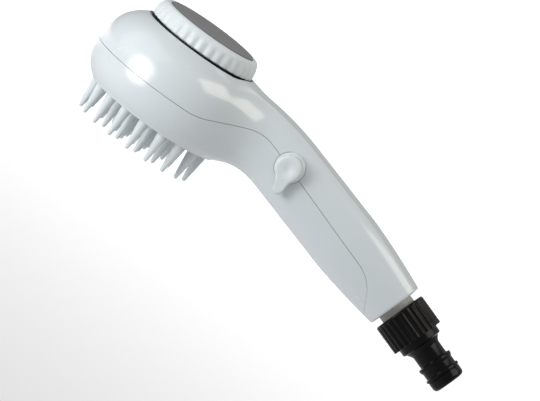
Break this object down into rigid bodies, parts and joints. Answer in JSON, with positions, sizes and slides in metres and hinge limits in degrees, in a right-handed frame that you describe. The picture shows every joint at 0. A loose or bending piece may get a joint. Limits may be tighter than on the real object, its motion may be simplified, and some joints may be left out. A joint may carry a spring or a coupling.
{
  "type": "handheld pet bath sprayer",
  "caption": "Bowl-headed bath sprayer with a soft bristle pad, twist cap with a soap button, side lever valve and a quick-connect hose spigot.",
  "frame": {"origin": "on the head's axis, in the plane of the face rim that the bristles stand out of", "axes": "+Z from the bristles to the cap, along the head's axis; +X from the head to the hose end; the lever is on the -Y side"},
  "size_m": [0.2405, 0.0864, 0.0781],
  "materials": {
    "casing": "glossy moulded ABS, pale blue-grey",
    "bristles": "satin silicone, pale blue-grey",
    "button_rubber": "matte mid-grey elastomer",
    "inner_plastic": "plain white moulding",
    "grey_plastic": "satin grey acetal",
    "black_plastic": "satin black moulded plastic",
    "seal_rubber": "black seal rubber",
    "hose_rubber": "black hose rubber",
    "spring_steel": "bright stainless spring wire",
    "screw_steel": "zinc-plated steel"
  },
  "bodies": {
    "casing": {"front_shell": "casing", "rear_shell": "casing", "bristle_pad": "bristles", "spray_plate": "inner_plastic", "water_chamber": "inner_plastic", "chamber_seal": "seal_rubber", "soap_tank": "inner_plastic", "tank_seal": "seal_rubber", "cap_gasket": "seal_rubber", "neck_gasket": "seal_rubber", "head_hose": "hose_rubber", "valve_housing": "inner_plastic", "valve_gland": "inner_plastic", "lever_bezel": "casing", "supply_hose": "hose_rubber", "inlet_stub": "grey_plastic", "inlet_washer": "seal_rubber", "hose_adaptor": "black_plastic", "casing_screws": "screw_steel"},
    "lever": {"side_lever": "casing", "valve_spool": "grey_plastic", "spool_seals": "seal_rubber"},
    "cap": {"cap_ring": "casing"},
    "button": {"thumb_pad": "button_rubber", "button_core": "inner_plastic", "button_seal": "seal_rubber", "plunger_stem": "inner_plastic", "stopper": "seal_rubber", "return_spring": "spring_steel"}
  },
  "joints": [
    {"name": "lever_turn", "type": "hinge", "parent": "casing", "child": "lever", "pos_m": [0.07098, 0, 0.02208], "axis": [0, -1, 0], "range_deg": [-25, 65]},
    {"name": "cap_twist", "type": "hinge", "parent": "casing", "child": "cap", "pos_m": [0, 0, 0.047], "axis": [0, 0, 1], "range_deg": [0, 60]},
    {"name": "button_press", "type": "slide", "parent": "cap", "child": "button", "axis": [0, 0, -1], "range_m": [0, 0.0035], "stiffness_N_per_m": 1200, "springref_m": -0.002, "deforming": ["return_spring"]}
  ]
}
